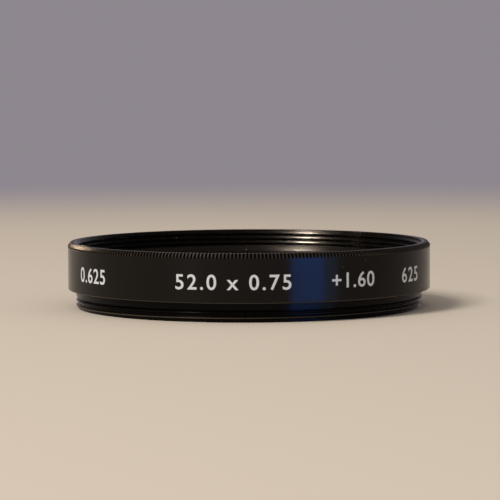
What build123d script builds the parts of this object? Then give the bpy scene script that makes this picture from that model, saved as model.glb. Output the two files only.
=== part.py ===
from build123d import *
import os
from math import atan2, copysign, degrees, hypot, pi, radians, sqrt, tan

# A screw-in achromatic close-up lens: a cemented crown and flint pair in a turned aluminium ring.
# Sizes are millimetres. +Z is the optical axis and points at the subject. The origin is the middle
# of the rear face, on which the lens lies when it is put down.

# Filter thread, cut on the outside at the rear and on the inside at the front
THREAD_D = 52.0
THREAD_PITCH = 0.75
MALE_THREAD_LENGTH = 1.6
FEMALE_THREAD_DEPTH = 2.5
LEAD_IN = 0.4  # chamfer that starts the male thread
MOUTH_STEP = 0.1  # the thread mouth opens this far past the thread

# Mount ring, outside
BAND_STEP = 1.2  # the band stands out this far past the thread
UNDERCUT_WIDTH = 0.25
UNDERCUT_DEPTH = 0.6
COLLAR_LENGTH = 0.95
SHOULDER_BEVEL = 0.12

# Notched rim: straight V grooves that cross the top outer corner on a slant
NOTCH_PITCH = 0.534
NOTCH_DROP = 0.72  # run-out below the front face
NOTCH_REACH = 0.89  # run-out inwards from the band
NOTCH_ANGLE = 34.0
NOTCH_SPARE = 0.25  # how far the cutter stands clear of the corner

# Mount ring, inside
SEAT_WIDTH = 0.8
SEAT_HEIGHT = 2.2
REAR_BEVEL = 0.5

# Retaining ring
RETAINER_THREAD_STEP = 1.0  # from the glass edge out to the ring's thread
RETAINER_THREAD_PITCH = 0.5
RETAINER_THICKNESS = 1.0
RETAINER_RUNOUT = 0.5  # thread left below the ring, so that it can be tightened
RETAINER_COVER = 0.8  # width of glass that the ring covers
RETAINER_LIP = 0.3
RETAINER_BEVEL = 0.7
SLOT_WIDTH = 1.2
SLOT_DEPTH = 0.55

# Doublet: the crown faces the camera's lens and the flint faces the subject
LENS_INSET = 2.0  # from the filter thread in to the glass edge
FOCAL_LENGTH = 625.0
REAR_CURVE_R = 421.6
CROWN_INDEX = 1.5168
CROWN_ABBE = 64.17
FLINT_INDEX = 1.6477
FLINT_ABBE = 33.85
CROWN_EDGE = 1.4
FLINT_CENTRE = 1.8
GLASS_BEVEL = 0.15

# Clearances
LENS_FIT = 0.05  # radial, glass in its bore
THREAD_FIT = 0.03  # radial, retaining ring in its thread
SEAT_GAP = 0.02  # glass to metal, along the axis
CEMENT_GAP = 0.02  # the optical cement


def rise(curve_r, r):
    """How far a spherical surface rises from its vertex at radius r. A negative curve_r bends it down."""
    return curve_r - copysign(sqrt(curve_r**2 - r**2), curve_r)


# An achromat shares its power between the glasses so that their dispersions cancel.
abbe_gap = CROWN_ABBE - FLINT_ABBE
crown_power = CROWN_ABBE / (abbe_gap * FOCAL_LENGTH)
flint_power = -FLINT_ABBE / (abbe_gap * FOCAL_LENGTH)
cemented_curve_r = 1 / (1 / REAR_CURVE_R - crown_power / (CROWN_INDEX - 1))
front_curve_r = 1 / (1 / cemented_curve_r - flint_power / (FLINT_INDEX - 1))

# Radii. Screw threads are plain walls: male at the crest, female at the crest, retainer at the pitch line.
thread_r = THREAD_D / 2
female_r = thread_r - 5 * sqrt(3) / 16 * THREAD_PITCH
band_r = thread_r + BAND_STEP
lens_r = thread_r - LENS_INSET
aperture_r = lens_r - SEAT_WIDTH
retainer_opening_r = lens_r - RETAINER_COVER
retainer_bore_r = lens_r + RETAINER_THREAD_STEP - 3 * sqrt(3) / 16 * RETAINER_THREAD_PITCH
retainer_r = retainer_bore_r - THREAD_FIT

# Heights, from the rear face up through the glass to the front face
undercut_z = MALE_THREAD_LENGTH + UNDERCUT_WIDTH
shoulder_z = undercut_z + COLLAR_LENGTH
rear_vertex_z = SEAT_HEIGHT + SEAT_GAP - rise(REAR_CURVE_R, aperture_r)
crown_centre = CROWN_EDGE + rise(REAR_CURVE_R, lens_r) - rise(cemented_curve_r, lens_r)
cemented_vertex_z = rear_vertex_z + crown_centre
flint_vertex_z = cemented_vertex_z + CEMENT_GAP
front_vertex_z = flint_vertex_z + FLINT_CENTRE
retainer_z = front_vertex_z + rise(front_curve_r, retainer_opening_r) + SEAT_GAP
retainer_top_z = retainer_z + RETAINER_THICKNESS
front_z = retainer_top_z + FEMALE_THREAD_DEPTH


def turned(section):
    """A solid turned about the optical axis, from its half section in the XZ plane."""
    return revolve(make_face(Plane.XZ * section), Axis.Z)


def notch_cutter():
    """One V cutter, lying along the slanting root of the notch at azimuth 0."""
    corner_depth = NOTCH_DROP * NOTCH_REACH / hypot(NOTCH_DROP, NOTCH_REACH)
    height = corner_depth + NOTCH_SPARE
    half_width = height * tan(radians(NOTCH_ANGLE / 2))
    length = 2 * hypot(NOTCH_DROP, NOTCH_REACH)
    slant = degrees(atan2(NOTCH_REACH, NOTCH_DROP))
    v_shape = make_face(Polyline((0, 0), (height, -half_width), (height, half_width), close=True))
    cutter = extrude(v_shape, length / 2, both=True)
    return Pos(band_r - NOTCH_REACH / 2, 0, front_z - NOTCH_DROP / 2) * Rot(0, -slant, 0) * cutter


def mount_ring():
    """The turned ring, with its section drawn from the rear aperture round the outside and back in."""
    mouth_r = thread_r + MOUTH_STEP
    section = Polyline(
        (aperture_r + REAR_BEVEL, 0),
        (thread_r - LEAD_IN, 0),
        (thread_r, LEAD_IN),
        (thread_r, MALE_THREAD_LENGTH),
        (thread_r - UNDERCUT_DEPTH, MALE_THREAD_LENGTH),
        (thread_r - UNDERCUT_DEPTH, undercut_z),
        (thread_r, undercut_z),
        (thread_r, shoulder_z),
        (band_r - SHOULDER_BEVEL, shoulder_z),
        (band_r, shoulder_z + SHOULDER_BEVEL),
        (band_r, front_z),
        (mouth_r, front_z),
        (female_r, front_z - (mouth_r - female_r)),
        (female_r, retainer_top_z),
        (retainer_bore_r, retainer_top_z),
        (retainer_bore_r, retainer_z - RETAINER_RUNOUT),
        (lens_r + LENS_FIT, retainer_z - RETAINER_RUNOUT),
        (lens_r + LENS_FIT, SEAT_HEIGHT),
        (aperture_r, SEAT_HEIGHT),
        (aperture_r, REAR_BEVEL),
        close=True,
    )
    cutter = notch_cutter()
    notch_count = round(2 * pi * band_r / NOTCH_PITCH)
    notches = [Rot(0, 0, 360 / notch_count * i) * cutter for i in range(notch_count)]
    return turned(section) - notches


def retaining_ring():
    """The threaded ring that holds the glass down, with a sloping inner lip and two spanner slots."""
    section = Polyline(
        (retainer_opening_r, retainer_z),
        (retainer_r, retainer_z),
        (retainer_r, retainer_top_z),
        (retainer_opening_r + RETAINER_BEVEL, retainer_top_z),
        (retainer_opening_r, retainer_z + RETAINER_LIP),
        close=True,
    )
    slots = Pos(0, 0, retainer_top_z) * Box(2 * band_r, SLOT_WIDTH, 2 * SLOT_DEPTH)
    return turned(section) - slots


def element(low_z, low_curve_r, high_z, high_curve_r):
    """A round lens ground from a tall blank, with its two spherical surfaces given by vertex and radius."""
    glass = Pos(0, 0, (low_z + high_z) / 2) * Cylinder(lens_r, lens_r)
    for vertex_z, curve_r, side in ((low_z, low_curve_r, 1), (high_z, high_curve_r, -1)):
        lap = Pos(0, 0, vertex_z + curve_r) * Rot(90, 0, 0) * Sphere(abs(curve_r))
        glass = glass & lap if curve_r * side > 0 else glass - lap
    return glass


def bevelled(glass, rim_z, side):
    """The element with its sharp outer rim bevelled. side is 1 for a lower rim and -1 for an upper one."""
    far = 2 * GLASS_BEVEL
    section = Polyline(
        (lens_r - far, rim_z - side * GLASS_BEVEL),
        (lens_r + GLASS_BEVEL, rim_z + side * far),
        (lens_r + GLASS_BEVEL, rim_z - side * GLASS_BEVEL),
        close=True,
    )
    return glass - turned(section)


def crown_element():
    """The biconvex crown glass, seated at the rear."""
    glass = element(rear_vertex_z, REAR_CURVE_R, cemented_vertex_z, cemented_curve_r)
    return bevelled(glass, rear_vertex_z + rise(REAR_CURVE_R, lens_r), 1)


def flint_element():
    """The flint glass meniscus, cemented on the crown."""
    glass = element(flint_vertex_z, cemented_curve_r, front_vertex_z, front_curve_r)
    return bevelled(glass, front_vertex_z + rise(front_curve_r, lens_r), -1)


os.makedirs("parts", exist_ok=True)
for make in (mount_ring, retaining_ring, crown_element, flint_element):
    export_step(make(), f"parts/{make.__name__}.step")
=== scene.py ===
# %% [markdown]
# # A screw-in achromatic lens, dressed for its portrait
#
# The object is a close-up lens that screws into the front of a camera's lens: two glasses
# cemented together, held by a threaded ring inside a low black aluminium mount. It lies on its
# male thread, so the side that faces the subject looks up.
#
# The solids are already packed at their real size and place. Here each one is made again as a
# mesh fine enough for a close view, with the threads that the solids leave plain, and gets the
# finish of the real surface. Nothing is moved or resized.

from math import asin, atan2, cos, degrees, hypot, pi, radians, sin, sqrt

import bmesh
import bpy
from mathutils import Matrix, Quaternion, Vector


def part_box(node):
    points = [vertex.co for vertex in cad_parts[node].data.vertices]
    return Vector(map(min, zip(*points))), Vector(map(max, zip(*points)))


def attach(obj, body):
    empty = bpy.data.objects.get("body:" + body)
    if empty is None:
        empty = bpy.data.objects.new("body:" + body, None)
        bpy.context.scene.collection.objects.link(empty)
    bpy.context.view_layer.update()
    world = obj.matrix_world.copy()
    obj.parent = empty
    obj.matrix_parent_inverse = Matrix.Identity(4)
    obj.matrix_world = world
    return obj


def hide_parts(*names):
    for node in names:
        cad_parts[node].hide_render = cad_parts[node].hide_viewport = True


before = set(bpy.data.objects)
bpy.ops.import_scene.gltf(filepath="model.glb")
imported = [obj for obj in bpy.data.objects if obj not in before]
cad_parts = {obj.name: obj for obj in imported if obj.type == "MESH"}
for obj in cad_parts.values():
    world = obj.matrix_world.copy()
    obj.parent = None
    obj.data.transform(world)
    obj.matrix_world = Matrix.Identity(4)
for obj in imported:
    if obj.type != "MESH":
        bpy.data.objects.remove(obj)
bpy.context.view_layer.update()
_, ring_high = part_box("mount_ring")
retainer_low, retainer_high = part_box("retaining_ring")
crown_low, crown_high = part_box("crown_element")
flint_low, flint_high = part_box("flint_element")
print("nodes:", sorted(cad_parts))

# %% [markdown]
# ## The sizes
#
# The frame gives the outside of every piece, so the band, the front face and the heights of the
# glass are read from it. What lies inside a piece can't be read from its box: threads, bevels and
# seats are named here, in millimetres, as a machinist's drawing would name them. The two filter
# threads are M52 x 0.75, and the depth of a metric thread is a fixed share of its pitch.
#
# The white numbers lie a hundredth of a millimetre above the band and have to stay within the
# solid's outline, so the band is turned that much smaller.

# %% Driving sizes
MM = 0.001
outer_r = ring_high[0]
front_z = ring_high[2]
retainer_r = retainer_high[0]
lens_r = crown_high[0]

thread_r = 26.0 * MM
thread_pitch = 0.75 * MM
male_depth = 0.6134 * thread_pitch
female_depth = 0.5413 * thread_pitch
male_length = 1.6 * MM
lead_in = 0.4 * MM
mouth_step = 0.1 * MM

undercut_top = 1.85 * MM
undercut_depth = 0.6 * MM
shoulder_z = 2.8 * MM
shoulder_bevel = 0.12 * MM
aperture_r = 23.2 * MM
rear_bevel = 0.5 * MM
seat_z = 2.2 * MM
lens_bore_r = lens_r + 0.05 * MM
retainer_bore_r = retainer_r + 0.03 * MM
retainer_runout = 0.5 * MM

notch_count = 320
notch_drop = 0.72 * MM
notch_reach = 0.89 * MM
rim_bevel_drop = 0.45 * MM
rim_bevel_reach = 0.38 * MM
edge_break = 0.04 * MM
paint_proud = 0.01 * MM
band_r = outer_r - paint_proud
print("band", round(band_r / MM, 3), "mm radius, front face at", round(front_z / MM, 3), "mm")

# %% [markdown]
# ## Colour and node helpers
#
# Colours are written as they look on a screen, in hex, and one function turns them into the
# linear light that the renderer wants. A second function adds a shader node, sets it and links
# it, which keeps every material below short enough to read as a recipe. Its sockets go by name,
# or by number where a node has several of one name: a Mix node of two colours has its factor at
# 0 and the colours at 6 and 7.


# %% Colour and nodes
def linear(hex_colour):
    """An sRGB hex colour as linear RGBA."""
    channels = [int(hex_colour[i:i + 2], 16) / 255 for i in (1, 3, 5)]
    return [c / 12.92 if c <= 0.04045 else ((c + 0.055) / 1.055) ** 2.4 for c in channels] + [1.0]


def add_node(material, kind, inputs=None, **settings):
    """Adds a node. inputs maps its sockets to values, or to the outputs of other nodes."""
    tree = material.node_tree
    node = tree.nodes.new(kind)
    for name, value in settings.items():
        setattr(node, name, value)
    for socket, value in (inputs or {}).items():
        if isinstance(value, bpy.types.NodeSocket):
            tree.links.new(value, node.inputs[socket])
        else:
            node.inputs[socket].default_value = value
    return node


def new_material(name):
    """A material with its Principled shader, ready for patterns to be linked."""
    material = bpy.data.materials.new(name)
    material.use_nodes = True
    return material, material.node_tree.nodes["Principled BSDF"]


def link(material, output, socket):
    """Joins an output to a socket of a node that is already there."""
    material.node_tree.links.new(output, socket)


# %% [markdown]
# ## Black anodised aluminium
#
# The ring is turned, then dyed black in the anodising bath. The oxide is a clear hard skin, about
# 0.02 mm thick, over dyed metal, so the eye gets a near-black colour under a thin sheen. A
# dielectric shader with a very dark base shows that better than a metal with a dark tint.
#
# The lathe leaves fine grooves that run round the ring. They spread a reflection up and down and
# hardly to the sides, so a lamp shows as an upright streak with crisp edges. The shader's
# anisotropy does that, with a tangent that runs round the axis and a quarter turn to set the
# spread across it. Two faint patterns break the sheen: grain about 0.09 mm across, and tool marks
# 0.12 mm apart, both a little coarser than the real ones so that they show in a small picture.
# The gloss also drifts a little over patches of 3 mm, as the bath leaves it. Some pale dust specks,
# 0.14 mm across, lie on it as they do on any black surface.
#
# There are five finishes, which differ in roughness, gloss and colour, and four of the colours paint
# light or shade. The band is an even satin. The threads and the bore are left as the tool cuts them,
# and their darker colour is painted shade in these recesses and under the band's shoulder. The lands
# between the slots are broken edges, a little rougher, and their paler colour is painted light where
# they face the key. The top face and the slots are cut clean and smooth, nearly black from above, in
# a colour that is painted shade in the slots. The top face yet shows as a thin pale line where the
# camera looks along it and sees the room in it. The thin bevel over the collar and the first crest of
# the male thread have a brownish grey colour, a painted highlight of the floor's reflection on them.

# %% Anodised finish
grain_size = 0.09 * MM
tool_feed = 0.12 * MM
gloss_patch = 3.0 * MM
glossier, duller = 0.03, 0.04
speck_spacing = 3.0 * MM
speck_r = 0.07 * MM
dust = "#8A8378"


def anodised_material(name, colour, roughness, specular, anisotropy, grain_depth, ring_depth):
    """A dyed oxide skin. The depths are how high the grain and the tool marks stand."""
    material, shader = new_material(name)
    place = add_node(material, "ShaderNodeTexCoord").outputs["Object"]
    grain = add_node(material, "ShaderNodeTexNoise",
                     {"Vector": place, "Scale": 1 / grain_size, "Detail": 2.0, "Roughness": 0.6})
    axes = add_node(material, "ShaderNodeSeparateXYZ", {"Vector": place})
    flat = add_node(material, "ShaderNodeCombineXYZ", {"X": axes.outputs["X"], "Y": axes.outputs["Y"]})
    radius = add_node(material, "ShaderNodeVectorMath", {0: flat.outputs[0]}, operation="LENGTH")
    section = add_node(material, "ShaderNodeCombineXYZ",
                       {"X": radius.outputs["Value"], "Y": axes.outputs["Z"]})
    rings = add_node(material, "ShaderNodeTexNoise",
                     {"Vector": section.outputs[0], "Scale": 1 / tool_feed, "Detail": 1.0})
    patches = add_node(material, "ShaderNodeTexNoise",
                       {"Vector": place, "Scale": 1 / gloss_patch, "Detail": 2.0})
    sheen = add_node(material, "ShaderNodeMapRange",
                     {"Value": patches.outputs["Fac"], "To Min": roughness - glossier,
                      "To Max": roughness + duller})
    link(material, sheen.outputs[0], shader.inputs["Roughness"])
    grained = add_node(material, "ShaderNodeBump",
                       {"Height": grain.outputs["Fac"], "Distance": grain_depth, "Strength": 1.0})
    ringed = add_node(material, "ShaderNodeBump",
                      {"Height": rings.outputs["Fac"], "Distance": ring_depth, "Strength": 1.0,
                       "Normal": grained.outputs[0]})
    link(material, ringed.outputs[0], shader.inputs["Normal"])
    around = add_node(material, "ShaderNodeTangent", direction_type="RADIAL", axis="Z")
    link(material, around.outputs[0], shader.inputs["Tangent"])
    cells = add_node(material, "ShaderNodeTexVoronoi", {"Vector": place, "Scale": 1 / speck_spacing})
    speck = add_node(material, "ShaderNodeMath",
                     {0: cells.outputs["Distance"], 1: speck_r / speck_spacing}, operation="LESS_THAN")
    dusted = add_node(material, "ShaderNodeMix",
                      {0: speck.outputs[0], 6: linear(colour), 7: linear(dust)}, data_type="RGBA")
    link(material, dusted.outputs[2], shader.inputs["Base Color"])
    shader.inputs["IOR"].default_value = 1.5
    shader.inputs["Specular IOR Level"].default_value = specular
    shader.inputs["Anisotropic"].default_value = anisotropy
    shader.inputs["Anisotropic Rotation"].default_value = 0.25
    return material


anodised = anodised_material("black_anodised_aluminium", "#161310", roughness=0.22, specular=0.12,
                             anisotropy=0.9, grain_depth=0.002 * MM, ring_depth=0.001 * MM)
# Threads and bore: duller, and darker than the band. The darker colour is painted shade in these recesses
# and under the band's shoulder.
thread_anodising_and_shade = anodised_material("black_anodised_thread_and_painted_shade", "#0C0A08", roughness=0.27, specular=0.1,
                                    anisotropy=1.0, grain_depth=0.0005 * MM, ring_depth=0.001 * MM)
# Lands of the grip: rougher, and paler than the band. The paler colour is painted light where they face
# the key.
edge_anodising_and_light = anodised_material("black_anodised_edge_and_painted_light", "#2C2620", roughness=0.4, specular=0.15,
                                  anisotropy=0.5, grain_depth=0.001 * MM, ring_depth=0.0005 * MM)
# Top face and slots: smooth and near black. In the slots the dark colour is painted shade.
face_anodising_and_shade = anodised_material("black_anodised_face_and_painted_shade", "#0C0A08", roughness=0.15, specular=0.2,
                                  anisotropy=0.0, grain_depth=0.0005 * MM, ring_depth=0.0002 * MM)
# Shoulder bevel and first crest: a brownish grey that is a painted highlight, the floor's reflection on
# these thin surfaces.
painted_highlight_anodising = anodised_material("black_anodised_painted_highlight", "#453E35", roughness=0.4, specular=0.15,
                                  anisotropy=0.5, grain_depth=0.001 * MM, ring_depth=0.0005 * MM)
ring_finishes = [anodised, thread_anodising_and_shade, edge_anodising_and_light, face_anodising_and_shade, painted_highlight_anodising]
print("finishes:", [finish.name for finish in ring_finishes])

# %% [markdown]
# ## Coated glass, cement and edge ink
#
# Each outer surface of the glass carries a quarter-wave film of magnesium fluoride, about a
# ten-thousandth of a millimetre thick, which leaves a faint violet reflection. The shader has that
# film built in.
# The cemented faces need care: in the real doublet the cement's index lies between the two
# glasses, so light crosses it almost straight. A renderer knows only glass against air, and would
# mirror the light there, so the cemented faces let it pass unbent. The ground edges of both
# glasses are painted with black ink, which stops stray light.

# %% Glass, cement and ink
coating_nm = 105.0
coating_ior = 1.38
cement_passes = (0.98, 0.98, 0.97, 1.0)  # the shares of red, green and blue light, and alpha


def glass_material(name, colour, index):
    """Clear glass of a given index, under the coating."""
    material, shader = new_material(name)
    shader.inputs["Base Color"].default_value = linear(colour)
    shader.inputs["Roughness"].default_value = 0.0
    shader.inputs["IOR"].default_value = index
    shader.inputs["Transmission Weight"].default_value = 1.0
    shader.inputs["Thin Film Thickness"].default_value = coating_nm
    shader.inputs["Thin Film IOR"].default_value = coating_ior
    return material


crown_glass = glass_material("crown_glass", "#FBFDFC", 1.517)
flint_glass = glass_material("flint_glass", "#FDFDFA", 1.648)

cement, cement_shader = new_material("optical_cement")
passing = add_node(cement, "ShaderNodeBsdfTransparent", {"Color": cement_passes})
link(cement, passing.outputs[0], cement.node_tree.nodes["Material Output"].inputs["Surface"])
cement.node_tree.nodes.remove(cement_shader)

edge_ink, ink_shader = new_material("edge_blacking_ink")
ink_shader.inputs["Base Color"].default_value = linear("#0D0C0C")
ink_shader.inputs["Roughness"].default_value = 0.7
print("glasses:", crown_glass.name, flint_glass.name)


# %% [markdown]
# ## From a mesh to a piece
#
# Every piece ends the same way: sharp edges are marked where two faces meet at more than 30
# degrees, the rest is shaded smooth, the piece is tied to the body, and the node it stands for is
# hidden.
# Its place is in its mesh, and its object stays at the origin.

# %% Finish a piece
sharp_angle = radians(30)


def add_piece(bm, name, materials, node):
    """Turns a bmesh into a piece that replaces a node of the frame."""
    for face in bm.faces:
        face.smooth = True
    for edge in bm.edges:
        edge.smooth = edge.calc_face_angle(0.0) < sharp_angle
    mesh = bpy.data.meshes.new(name)
    bm.to_mesh(mesh)
    bm.free()
    for material in materials:
        mesh.materials.append(material)
    piece = bpy.data.objects.new(name, mesh)
    bpy.context.scene.collection.objects.link(piece)
    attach(piece, "root")
    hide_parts(node)
    print(name, len(mesh.polygons), "faces")


# %% [markdown]
# ## Turning a section
#
# Nearly everything here came off a lathe. One helper draws a half section from its corners, given
# as (radius, height) pairs, and breaks the sharp ones with a tiny radius. A second one does what a
# lathe does and spins that outline round the optical axis.

# %% The lathe
weld = 1e-7  # metres; vertices closer than this are one
on_plane = 1e-8  # metres; a vertex this close to a cutting plane lies on it


def half_section(corners, rounded, rounding):
    """A closed outline in the XZ plane. rounded names the corners that get an edge radius."""
    bm = bmesh.new()
    verts = [bm.verts.new((r, 0, z)) for r, z in corners]
    for start, end in zip(verts, verts[1:] + verts[:1]):
        bm.edges.new((start, end))
    bmesh.ops.bevel(bm, geom=[verts[i] for i in rounded], offset=rounding, segments=2,
                    profile=0.5, affect="VERTICES", material=-1)
    return bm


def turned(bm, columns):
    """Spins a section all the way round Z and points its faces outwards."""
    bmesh.ops.spin(bm, geom=bm.verts[:] + bm.edges[:], cent=(0, 0, 0), axis=(0, 0, 1),
                   dvec=(0, 0, 0), angle=2 * pi, steps=columns, use_merge=True)
    bmesh.ops.remove_doubles(bm, verts=bm.verts, dist=weld)
    bmesh.ops.recalc_face_normals(bm, faces=bm.faces)
    return bm


# %% [markdown]
# ## The mount ring
#
# The section runs from the rear aperture round the outside and back down the inside. The two
# threads are left as plain walls at their roots, because their ridges are added next. The band and
# the collar get a second corner just above their rounded lower edge. Without it the smooth shading
# would bend the whole wall from the edge up, and a reflection would fade on its way down.
#
# The outer corner of the rim is bevelled, and 320 narrow slots are cut across the bevel on a
# slant, for grip. They are all alike, so only the 320th part of the ring is spun, in four steps.

# %% Turn one notch of the ring
slot_columns = 4
notch_angle = 2 * pi / notch_count
male_root_r = thread_r - male_depth
mouth_r = thread_r + mouth_step
holding_step = 0.1 * MM
ring_section = [
    (aperture_r + rear_bevel, 0),
    (male_root_r, 0),
    (male_root_r, male_length),
    (thread_r - undercut_depth, male_length),
    (thread_r - undercut_depth, undercut_top),
    (thread_r, undercut_top),
    (thread_r, undercut_top + holding_step),
    (thread_r, shoulder_z),
    (band_r - shoulder_bevel, shoulder_z),
    (band_r, shoulder_z + shoulder_bevel),
    (band_r, shoulder_z + shoulder_bevel + holding_step),
    (band_r, front_z - notch_drop),
    (band_r, front_z - rim_bevel_drop),
    (band_r - rim_bevel_reach, front_z),
    (band_r - notch_reach, front_z),
    (mouth_r, front_z),
    (thread_r, front_z - mouth_step),
    (thread_r, retainer_high[2]),
    (retainer_bore_r, retainer_high[2]),
    (retainer_bore_r, retainer_low[2] - retainer_runout),
    (lens_bore_r, retainer_low[2] - retainer_runout),
    (lens_bore_r, seat_z),
    (aperture_r, seat_z),
    (aperture_r, rear_bevel),
]
edge_corners = (0, 1, 5, 8, 9, 15, 18, 22, 23)
ring = half_section(ring_section, rounded=edge_corners, rounding=edge_break)
bmesh.ops.spin(ring, geom=ring.verts[:] + ring.edges[:], cent=(0, 0, 0), axis=(0, 0, 1),
               dvec=(0, 0, 0), angle=notch_angle, steps=slot_columns, use_merge=False)
print("one notch:", len(ring.faces), "faces")

# %% [markdown]
# Two of the sector's five columns are the edges of the slot, two sink to its floor, and the last
# is where the next notch begins. The columns are drawn together in pairs, so that the walls of the
# slot stand nearly upright, and the faces beside it are split along its edges. Places and widths
# are shares of one notch.

# %% Sink the slot
slot_share = 0.6
wall_share = 0.04
column_places = [0.0, wall_share, slot_share - wall_share, slot_share, 1.0]
near = 0.001 * MM
floor_slope = Vector((notch_reach, -notch_drop)).normalized()
split_verts = []
for vert in ring.verts:
    r, z = hypot(vert.co.x, vert.co.y), vert.co.z
    column = round(atan2(vert.co.y, vert.co.x) / notch_angle * slot_columns)
    on_floor = column in (1, 2)
    at_bevel = min(hypot(r - band_r, z - front_z + rim_bevel_drop),
                   hypot(r - band_r + rim_bevel_reach, z - front_z)) < near
    at_runout = min(hypot(r - band_r, z - front_z + notch_drop),
                    hypot(r - band_r + notch_reach, z - front_z)) < near
    if at_bevel and on_floor:
        from_runout = Vector((r - band_r + notch_reach, z - front_z))
        sunk = from_runout.dot(floor_slope) * floor_slope
        r, z = band_r - notch_reach + sunk.x, front_z + sunk.y
    elif at_bevel or (at_runout and on_floor):
        split_verts.append(vert)
    turn = column_places[column] * notch_angle
    vert.co = (r * cos(turn), r * sin(turn), z)
bmesh.ops.connect_verts(ring, verts=split_verts)
print("split at", len(split_verts), "vertices,", len(ring.faces), "faces now")

# %% [markdown]
# Each face gets its finish now, while there are only a few of them to sort. The first finish is the
# band's, and it stays wherever no other is given.

# %% Sort the finishes
thread_finish_and_shade, edge_finish_and_light, face_finish_and_shade, painted_highlight_finish = 1, 2, 3, 4
for face in ring.faces:
    middle = face.calc_center_median()
    r, z = hypot(middle.x, middle.y), middle.z
    on_grip = z > front_z - notch_drop + near and r > band_r - notch_reach + near
    in_slot = on_grip and atan2(middle.y, middle.x) < slot_share * notch_angle
    on_shoulder = near < z - shoulder_z < shoulder_bevel and r > band_r - shoulder_bevel
    # Faces under the shoulder and in the bore take the darker colour, which paints the shade of these
    # recesses.
    if z < shoulder_z - near or r < thread_r + near:
        face.material_index = thread_finish_and_shade
    # Slots and top face take the near-black colour, which paints the shade in the slots.
    elif in_slot or z > front_z - near:
        face.material_index = face_finish_and_shade
    # The lands take the paler colour, which paints the light that falls on them.
    elif on_grip:
        face.material_index = edge_finish_and_light
    # The thin shoulder bevel takes the brownish grey of a painted highlight.
    elif on_shoulder:
        face.material_index = painted_highlight_finish
print("faces of each finish:", [sum(face.material_index == slot for face in ring.faces)
                                for slot in range(len(ring_finishes))])

# %% [markdown]
# Copying the sector 320 times one by one is slow, and doubling it is quick: six doublings make 64
# notches, and five copies of those close the ring.


# %% Close the ring
def copied(bm, factors, move):
    """Multiplies a bmesh by each factor in turn. move(verts, n) moves new verts by n of its first
    lengths."""
    length = 1
    for factor in factors:
        source = bm.verts[:] + bm.edges[:] + bm.faces[:]
        for copy in range(1, factor):
            made = bmesh.ops.duplicate(bm, geom=source)["geom"]
            move([item for item in made if isinstance(item, bmesh.types.BMVert)], copy * length)
        length *= factor
    bmesh.ops.remove_doubles(bm, verts=bm.verts, dist=weld)


def turn_notches(verts, count):
    bmesh.ops.rotate(ring, verts=verts, cent=(0, 0, 0),
                     matrix=Matrix.Rotation(notch_angle * count, 3, "Z"))


doublings = (2, 2, 2, 2, 2, 2)
last_copies = notch_count // 2**len(doublings)
copied(ring, doublings + (last_copies,), turn_notches)
bmesh.ops.recalc_face_normals(ring, faces=ring.faces)
print("ring:", len(ring.faces), "faces")

# %% [markdown]
# ## Screw threads
#
# A thread is a ridge that climbs by one pitch in every turn. Spin can do that by itself: with a
# small lift at every step it sweeps the ridge's outline along a helix. One turn is spun and then
# copied upwards, a pitch at a time. The ridge is sunk a little into its wall and cut off flat at
# both ends of the thread, and its crest is held behind the lead-in chamfer of the male thread or
# the mouth of the female one. Both threads are right-hand, and their crests are rounded over
# nearly their whole width.

# %% Cut the threads
thread_steps = 240
sink = 0.06 * MM
sink_run = 0.2 * sink  # each flank is this much wider at its sunken foot
crest_rounding = 0.48


def thread_ridge(crest_r, wall_r, crest_width, low_z, high_z, crest_z_in_front, limit):
    """A helical ridge from wall_r to crest_r, between two heights. One crest passes the front, at
    -Y, at the given height. limit(r, z) is the radius that a point may have."""
    inward = 1 if crest_r < wall_r else -1
    base_half = crest_width / 2 + abs(crest_r - wall_r) / sqrt(3)
    outline = [(wall_r + inward * sink, -base_half - sink_run), (crest_r, -crest_width / 2),
               (crest_r, crest_width / 2), (wall_r + inward * sink, base_half + sink_run)]
    turns_below = int((crest_z_in_front - low_z) / thread_pitch) + 2
    start_z = crest_z_in_front - turns_below * thread_pitch
    turns = int((high_z - start_z) / thread_pitch) + 2
    bm = bmesh.new()
    verts = [bm.verts.new((0, -r, start_z + z)) for r, z in outline]
    for pair in zip(verts, verts[1:] + verts[:1]):
        bm.edges.new(pair)
    bmesh.ops.bevel(bm, geom=verts[1:3], offset=crest_rounding * crest_width, segments=6,
                    profile=0.5, affect="VERTICES", material=-1)
    bmesh.ops.spin(bm, geom=bm.verts[:] + bm.edges[:], cent=(0, 0, 0), axis=(0, 0, 1),
                   dvec=(0, 0, thread_pitch / thread_steps), angle=2 * pi, steps=thread_steps,
                   use_merge=False)
    copied(bm, (turns,), lambda verts, count: bmesh.ops.translate(
        bm, verts=verts, vec=(0, 0, count * thread_pitch)))
    for z, up in ((low_z, -1), (high_z, 1)):
        cut = bmesh.ops.bisect_plane(bm, geom=bm.verts[:] + bm.edges[:] + bm.faces[:], dist=on_plane,
                                     plane_co=(0, 0, z), plane_no=(0, 0, up), clear_outer=True)
        rim = [item for item in cut["geom_cut"] if isinstance(item, bmesh.types.BMEdge)]
        bmesh.ops.edgeloop_fill(bm, edges=rim)
    for vert in bm.verts:
        r = hypot(vert.co.x, vert.co.y)
        held = limit(r, vert.co.z) / r
        vert.co = (vert.co.x * held, vert.co.y * held, vert.co.z)
    bmesh.ops.recalc_face_normals(bm, faces=bm.faces)
    return bm


male_crest_width = thread_pitch / 8
male_crest_z = 0.65 * MM
male = thread_ridge(thread_r, male_root_r, male_crest_width, 0.0, male_length, male_crest_z,
                    lambda r, z: min(r, thread_r - lead_in + z))
female_crest_width = 0.32 * thread_pitch
female_crest_z = front_z - 0.9 * MM
female = thread_ridge(thread_r - female_depth, thread_r, female_crest_width, retainer_high[2],
                      front_z - mouth_step / 2, female_crest_z,
                      lambda r, z: max(r, mouth_r - (front_z - z)))
print("thread faces:", len(male.faces), len(female.faces))

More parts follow.
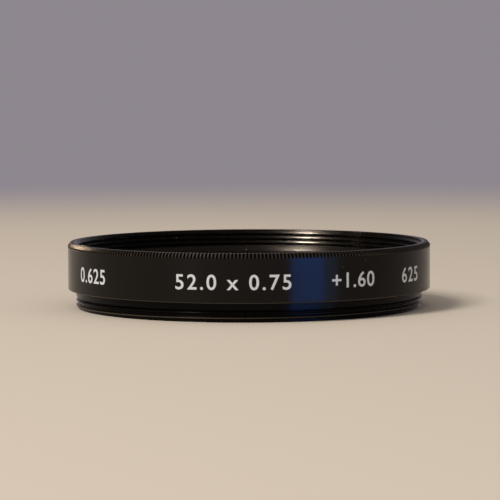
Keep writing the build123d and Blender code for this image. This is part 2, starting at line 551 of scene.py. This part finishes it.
# %% [markdown]
# The ridges and the ring are one piece of metal, so their meshes are joined into one piece. The
# rounded top of the lowest full crest gets a paler colour, a painted highlight of the floor's
# reflection on it.

# %% Join the ring
first_crest_top = 1.05 * MM
crest_highlight_depth = 0.03 * MM
for part in (male, female):
    for face in part.faces:
        middle = face.calc_center_median()
        # The top of the lowest full crest takes the painted highlight too.
        highlighted = (part is male and middle.z < first_crest_top
                and hypot(middle.x, middle.y) > thread_r - crest_highlight_depth)
        face.material_index = painted_highlight_finish if highlighted else thread_finish_and_shade
    scrap = bpy.data.meshes.new("thread_scrap")
    part.to_mesh(scrap)
    part.free()
    ring.from_mesh(scrap)
    bpy.data.meshes.remove(scrap)
add_piece(ring, "mount_ring_turned", ring_finishes, "mount_ring")

# %% [markdown]
# ## The glass
#
# Each element is two spherical surfaces and a ground edge with a small protective bevel. The
# surfaces are so shallow that their curve hardly shows from the side, yet it bends every
# reflection on the glass, so they are real arcs with their true radii of curvature. The middle of
# each surface lies on the axis, where the spin closes it.

# %% Grind and cement the elements
rear_curve = 421.6 * MM
cemented_curve = 239.2 * MM
front_curve = 702.9 * MM
glass_bevel = 0.15 * MM
glass_rings = 14
glass_columns = 192


def sag(curve, r):
    """How far a spherical surface falls away from its vertex at radius r."""
    return curve - sqrt(curve**2 - r**2)


def element(low, high):
    """A lens between two surfaces. Each is a function from radius to height."""
    rings = [lens_r * i / glass_rings for i in range(glass_rings)] + [lens_r - glass_bevel]
    bottom = [(r, low(r)) for r in rings]
    top = [(r, high(r)) for r in reversed(rings)]
    edge = [(lens_r, low(lens_r) + glass_bevel), (lens_r, high(lens_r) - glass_bevel)]
    bm = bmesh.new()
    verts = [bm.verts.new((r, 0, z)) for r, z in bottom + edge + top]
    edges = [bm.edges.new(pair) for pair in zip(verts, verts[1:])]
    bmesh.ops.spin(bm, geom=verts + edges, cent=(0, 0, 0), axis=(0, 0, 1), dvec=(0, 0, 0),
                   angle=2 * pi, steps=glass_columns, use_merge=True)
    bmesh.ops.remove_doubles(bm, verts=bm.verts, dist=weld)
    bmesh.ops.recalc_face_normals(bm, faces=bm.faces)
    return bm


def rear_surface(r):
    return crown_low[2] + sag(rear_curve, r)


def crown_front(r):
    return crown_high[2] - sag(cemented_curve, r)


def flint_rear(r):
    return flint_low[2] + sag(cemented_curve, lens_r) - sag(cemented_curve, r)


def front_surface(r):
    return flint_high[2] - sag(front_curve, r)


def paint_element(bm, cemented_side):
    """Gives the cemented face its cement and the ground edge its ink. Glass is slot 0.
    cemented_side is 1 for the upper face and -1 for the lower."""
    for face in bm.faces:
        r = hypot(face.calc_center_median().x, face.calc_center_median().y)
        if r > lens_r - glass_bevel:
            face.material_index = 2
        elif face.normal.z * cemented_side > 0.5:
            face.material_index = 1


crown = element(rear_surface, crown_front)
paint_element(crown, 1)
flint = element(flint_rear, front_surface)
paint_element(flint, -1)
add_piece(crown, "crown_glass_element", [crown_glass, cement, edge_ink], "crown_element")
add_piece(flint, "flint_glass_element", [flint_glass, cement, edge_ink], "flint_element")

# %% [markdown]
# ## The retaining ring
#
# A thin ring screws down on the glass. Its inner edge slopes so that it hides little of the
# glass, and a spanner turns it by two slots. The slots are cut with a Boolean modifier, because a
# straight cut across a round ring doesn't follow the columns of a lathe mesh.

# %% Turn and slot the retaining ring
retainer_opening_r = 23.2 * MM
retainer_lip = 0.3 * MM
retainer_bevel = 0.7 * MM
slot_width = 1.2 * MM
slot_depth = 0.55 * MM
retainer_columns = 384
retainer_section = [
    (retainer_opening_r, retainer_low[2]),
    (retainer_r, retainer_low[2]),
    (retainer_r, retainer_high[2]),
    (retainer_opening_r + retainer_bevel, retainer_high[2]),
    (retainer_opening_r, retainer_low[2] + retainer_lip),
]
retainer = turned(half_section(retainer_section, rounded=(2, 3), rounding=edge_break),
                  retainer_columns)

cutter_bm = bmesh.new()
bmesh.ops.create_cube(cutter_bm, size=1.0)
bmesh.ops.scale(cutter_bm, verts=cutter_bm.verts, vec=(2 * outer_r, slot_width, 2 * slot_depth))
bmesh.ops.translate(cutter_bm, verts=cutter_bm.verts, vec=(0, 0, retainer_high[2]))


def boolean_cut(bm, cutter):
    """Cuts one bmesh away from another with a Boolean modifier, and returns the result."""
    objects = []
    for name, source in (("work", bm), ("tool", cutter)):
        mesh = bpy.data.meshes.new(name)
        source.to_mesh(mesh)
        source.free()
        objects.append(bpy.data.objects.new(name, mesh))
        bpy.context.scene.collection.objects.link(objects[-1])
    modifier = objects[0].modifiers.new("cut", "BOOLEAN")
    modifier.operation = "DIFFERENCE"
    modifier.solver = "EXACT"
    modifier.object = objects[1]
    solved = objects[0].evaluated_get(bpy.context.evaluated_depsgraph_get())
    result = bmesh.new()
    result.from_mesh(solved.to_mesh())
    solved.to_mesh_clear()
    for scrap in objects:
        mesh = scrap.data
        bpy.data.objects.remove(scrap)
        bpy.data.meshes.remove(mesh)
    return result


retainer = boolean_cut(retainer, cutter_bm)
add_piece(retainer, "retaining_ring_slotted", [anodised], "retaining_ring")

# %% [markdown]
# ## Plain numbers on the band
#
# The band carries a few white marks. These are plain numbers for the lens's own sizes: the
# thread, its pitch, the power and the focal length. They are cut in the metal and filled with
# paint, so each number starts as a flat text, becomes a mesh, is cut into narrow strips so that it
# can bend, gets a little depth, and is then wrapped round the band. A text's faces look up. They
# are turned to look down, because an extrusion leads the way that its faces look. The paint is a
# white enamel with a soft gloss, a little uneven over patches of a quarter of a millimetre.

# %% Engrave and paint the numbers
paint, paint_shader = new_material("white_engraving_enamel")
paint_patch = 0.25 * MM
paint_place = add_node(paint, "ShaderNodeTexCoord").outputs["Object"]
paint_noise = add_node(paint, "ShaderNodeTexNoise",
                       {"Vector": paint_place, "Scale": 1 / paint_patch, "Detail": 3.0})
paint_colour = add_node(paint, "ShaderNodeMix",
                        {0: paint_noise.outputs["Fac"], 6: linear("#C4C8CB"), 7: linear("#E2E7EA")},
                        data_type="RGBA")
link(paint, paint_colour.outputs[2], paint_shader.inputs["Base Color"])
paint_shader.inputs["Roughness"].default_value = 0.45

digit_height = 2.2 * MM
digit_middle_z = 5.8 * MM
paint_depth = 0.03 * MM
strip_width = 0.2 * MM
stroke_gain = 0.012  # thickens the strokes, in units of the text's height


def number_mesh(text, azimuth, spacing):
    """A number as a bmesh, wrapped round the band with its middle at an azimuth from the front."""
    curve = bpy.data.curves.new("number", "FONT")
    curve.body = text
    curve.space_character = spacing
    curve.offset = stroke_gain
    holder = bpy.data.objects.new("number", curve)
    flat = bpy.data.meshes.new_from_object(holder)
    bm = bmesh.new()
    bm.from_mesh(flat)
    bmesh.ops.reverse_faces(bm, faces=bm.faces)
    bpy.data.objects.remove(holder)
    bpy.data.curves.remove(curve)
    bpy.data.meshes.remove(flat)
    low = Vector((min(v.co.x for v in bm.verts), min(v.co.y for v in bm.verts), 0))
    high = Vector((max(v.co.x for v in bm.verts), max(v.co.y for v in bm.verts), 0))
    size = digit_height / (high.y - low.y)
    bmesh.ops.translate(bm, verts=bm.verts, vec=-(low + high) / 2)
    bmesh.ops.scale(bm, verts=bm.verts, vec=(size, size, size))
    half = (high.x - low.x) / 2 * size
    for i in range(1, int(2 * half / strip_width)):
        bmesh.ops.bisect_plane(bm, geom=bm.verts[:] + bm.edges[:] + bm.faces[:], dist=on_plane,
                               plane_co=(i * strip_width - half, 0, 0), plane_no=(1, 0, 0))
    bmesh.ops.dissolve_degenerate(bm, dist=weld, edges=bm.edges)
    depth = bmesh.ops.extrude_face_region(bm, geom=bm.faces[:])
    moved = [item for item in depth["geom"] if isinstance(item, bmesh.types.BMVert)]
    bmesh.ops.translate(bm, verts=moved, vec=(0, 0, -paint_depth))
    for vert in bm.verts:
        angle = radians(azimuth) + vert.co.x / outer_r
        r = outer_r + vert.co.z
        vert.co = (r * sin(angle), -r * cos(angle), digit_middle_z + vert.co.y)
    return bm


# %% [markdown]
# The places of the numbers are read from the picture, which is 500 pixels wide. The band's middle
# is at column 249.5 and it reaches 181 columns to either side, so a column gives an angle. Each
# number has the column of its middle and the spacing of its characters.

# %% Place the numbers
band_middle_column = 249.5
band_half_columns = 181.0


def azimuth_of(column):
    """The place on the band, in degrees from the front, that shows in a column of the picture."""
    return degrees(asin((column - band_middle_column) / band_half_columns))


numbers = {"0.625": (97, 1.1), "52.0 x 0.75": (233, 1.22), "+1.60": (348, 1.1), "625": (405, 1.2)}
numbers_bm = bmesh.new()
for text, (column, spacing) in numbers.items():
    wrapped = number_mesh(text, azimuth_of(column), spacing)
    scrap = bpy.data.meshes.new("number_scrap")
    wrapped.to_mesh(scrap)
    wrapped.free()
    numbers_bm.from_mesh(scrap)
    bpy.data.meshes.remove(scrap)
add_piece(numbers_bm, "engraved_numbers", [paint], "mount_ring")

# %% [markdown]
# ## Floor and background
#
# The lens lies on a plain pale surface that gives way, from a hand's length behind it, to an even
# lavender grey. The camera and the reflections see one colour in the distance, on the floor and in
# the world alike, so there is no hard horizon. Close to the lens the floor is an ordinary paint
# that takes the shadow.

# %% Floor
haze_colour = "#8E878F"
haze_start, haze_full = 0.17, 0.42  # metres from the lens
floor_half = 3.0
pale_floor, floor_shader = new_material("pale_floor")
floor_place = add_node(pale_floor, "ShaderNodeTexCoord").outputs["Object"]
distance = add_node(pale_floor, "ShaderNodeVectorMath", {0: floor_place}, operation="LENGTH")
far = add_node(pale_floor, "ShaderNodeMapRange",
               {"Value": distance.outputs["Value"], "From Min": haze_start, "From Max": haze_full},
               interpolation_type="SMOOTHSTEP")
ray = add_node(pale_floor, "ShaderNodeLightPath")
seen = add_node(pale_floor, "ShaderNodeMath",
                {0: ray.outputs["Is Camera Ray"], 1: ray.outputs["Is Glossy Ray"]}, operation="MAXIMUM")
seen_through = add_node(pale_floor, "ShaderNodeMath",
                        {0: seen.outputs[0], 1: ray.outputs["Is Transmission Ray"]}, operation="MAXIMUM")
share = add_node(pale_floor, "ShaderNodeMath",
                 {0: seen_through.outputs[0], 1: far.outputs[0]}, operation="MULTIPLY")
haze = add_node(pale_floor, "ShaderNodeEmission", {"Color": linear(haze_colour), "Strength": 1.0})
mixed = add_node(pale_floor, "ShaderNodeMixShader",
                 {0: share.outputs[0], 1: floor_shader.outputs[0], 2: haze.outputs[0]})
link(pale_floor, mixed.outputs[0], pale_floor.node_tree.nodes["Material Output"].inputs["Surface"])
floor_shader.inputs["Base Color"].default_value = linear("#C8BFB3")
floor_shader.inputs["Roughness"].default_value = 0.8
floor_shader.inputs["Specular IOR Level"].default_value = 0.0

floor_bm = bmesh.new()
bmesh.ops.create_grid(floor_bm, x_segments=1, y_segments=1, size=floor_half)
floor_mesh = bpy.data.meshes.new("floor")
floor_bm.to_mesh(floor_mesh)
floor_bm.free()
floor_mesh.materials.append(pale_floor)
floor = bpy.data.objects.new("floor", floor_mesh)
bpy.context.scene.collection.objects.link(floor)
print("floor:", 2 * floor_half, "m wide")

# %% [markdown]
# The world is the lavender wall up to about 30 degrees, with a soft passage from 20 to 40, whose
# sines are the two limits. Over it the room's light comes down from a pale ceiling, which black
# metal would show as a grey veil, so reflections see that part dark.

# %% World
wall_end, ceiling_start = 0.35, 0.65
world = bpy.data.worlds.new("soft_room")
bpy.context.scene.world = world
world.use_nodes = True
sky = add_node(world, "ShaderNodeTexCoord").outputs["Generated"]
sky_axes = add_node(world, "ShaderNodeSeparateXYZ", {"Vector": sky})
overhead = add_node(world, "ShaderNodeMapRange",
                    {"Value": sky_axes.outputs["Z"], "From Min": wall_end, "From Max": ceiling_start},
                    interpolation_type="SMOOTHSTEP")
world_ray = add_node(world, "ShaderNodeLightPath")
ceiling = add_node(world, "ShaderNodeMix",
                   {0: world_ray.outputs["Is Glossy Ray"], 6: linear("#BFBAB4"), 7: linear("#1C1B1C")},
                   data_type="RGBA")
room = add_node(world, "ShaderNodeMix",
                {0: overhead.outputs[0], 6: linear(haze_colour), 7: ceiling.outputs[2]}, data_type="RGBA")
link(world, room.outputs[2], world.node_tree.nodes["Background"].inputs["Color"])
print("world:", world.name)

# %% [markdown]
# ## Light
#
# One soft, warm key in front on the left lights the floor and throws the shadow to the right. The
# other four only make reflections, so they are hidden from the diffuse rays and throw no second
# shadow. Two low blue ones in front on the right, a strong one and a faint one beside it, lay a
# stripe down the band. They stand hardly higher than the rim, which keeps them out of the inside.
#
# The last two are small and stand close by: one behind the left end, which catches the bevel of
# the rim, and one over the glass, which draws a bright line on each thread crest of the far wall.
# The far wall faces the same way as the near band, and the right wall the same way as the left
# bevel, so a distant lamp that lit one of a pair would light the other too.


# %% Lamps
def area_lamp(name, azimuth, elevation, distance, size, watts, colour,
              target=(0, 0, 0), roll=0.0, glint=True):
    """An area lamp aimed at a target. Azimuth is from the front, and positive to the right. A glint
    makes reflections only."""
    lamp = bpy.data.lights.new(name, "AREA")
    lamp.shape = "RECTANGLE"
    lamp.size, lamp.size_y = size
    lamp.energy = watts
    lamp.color = linear(colour)[:3]
    holder = bpy.data.objects.new(name, lamp)
    bpy.context.scene.collection.objects.link(holder)
    a, e = radians(azimuth), radians(elevation)
    away = Vector((sin(a) * cos(e), -cos(a) * cos(e), sin(e)))
    holder.location = Vector(target) + away * distance
    aim = (-away).to_track_quat("-Z", "Y") @ Quaternion((0, 0, 1), radians(roll))
    holder.rotation_euler = aim.to_euler()
    holder.visible_camera = False
    holder.visible_diffuse = not glint


lit_thread = (8.4 * MM, 24.2 * MM, front_z - 1.2 * MM)
lit_rim = (-25.1 * MM, -9.9 * MM, front_z - rim_bevel_drop / 2)
area_lamp("key", azimuth=-45.5, elevation=47, distance=0.9, size=(0.2, 0.45), watts=6.5,
          colour="#FFF6EC", glint=False)
area_lamp("blue_stripe", azimuth=35.5, elevation=0.45, distance=0.7, size=(0.25, 0.01), watts=1.4,
          colour="#2488FF")
area_lamp("blue_edge", azimuth=50.3, elevation=0.45, distance=0.7, size=(0.115, 0.01), watts=0.18,
          colour="#7AAEFF")
area_lamp("rim_glint", azimuth=-149.2, elevation=20, distance=0.025, size=(0.01, 0.004), watts=0.005,
          colour="#FFDDB8", target=lit_rim)
area_lamp("thread_glint", azimuth=-48.8, elevation=47, distance=0.04, size=(0.0035, 0.022), watts=0.2,
          colour="#FFE9D2", target=lit_thread, roll=23.6)

# %% [markdown]
# ## Camera
#
# A long lens a little above the table, almost level with the ring. Its place, in band radii, and
# its three angles come from fitting the ring's ellipses in the picture. The picture is shown
# without a film curve, so that the hex colours look as they are written.

# %% Camera
camera_place = Vector((-0.075, -14.0, 1.327))
camera_data = bpy.data.cameras.new("camera")
camera_data.sensor_width = 36.0
camera_data.lens = 182.5
camera_data.clip_start = 0.01
camera = bpy.data.objects.new("camera", camera_data)
bpy.context.scene.collection.objects.link(camera)
bpy.context.scene.camera = camera
yaw, pitch, roll = radians(0.33), radians(4.16), radians(-0.23)
ahead = Vector((sin(yaw) * cos(pitch), cos(yaw) * cos(pitch), -sin(pitch)))
side = Vector((cos(yaw), -sin(yaw), 0))
above = side.cross(ahead)
side, above = side * cos(roll) + above * sin(roll), above * cos(roll) - side * sin(roll)
camera.rotation_euler = Matrix((side, above, -ahead)).transposed().to_euler()
camera.location = camera_place * band_r
print("camera", round(camera.location.length, 3), "m from the lens")

bpy.context.scene.view_settings.view_transform = "Standard"
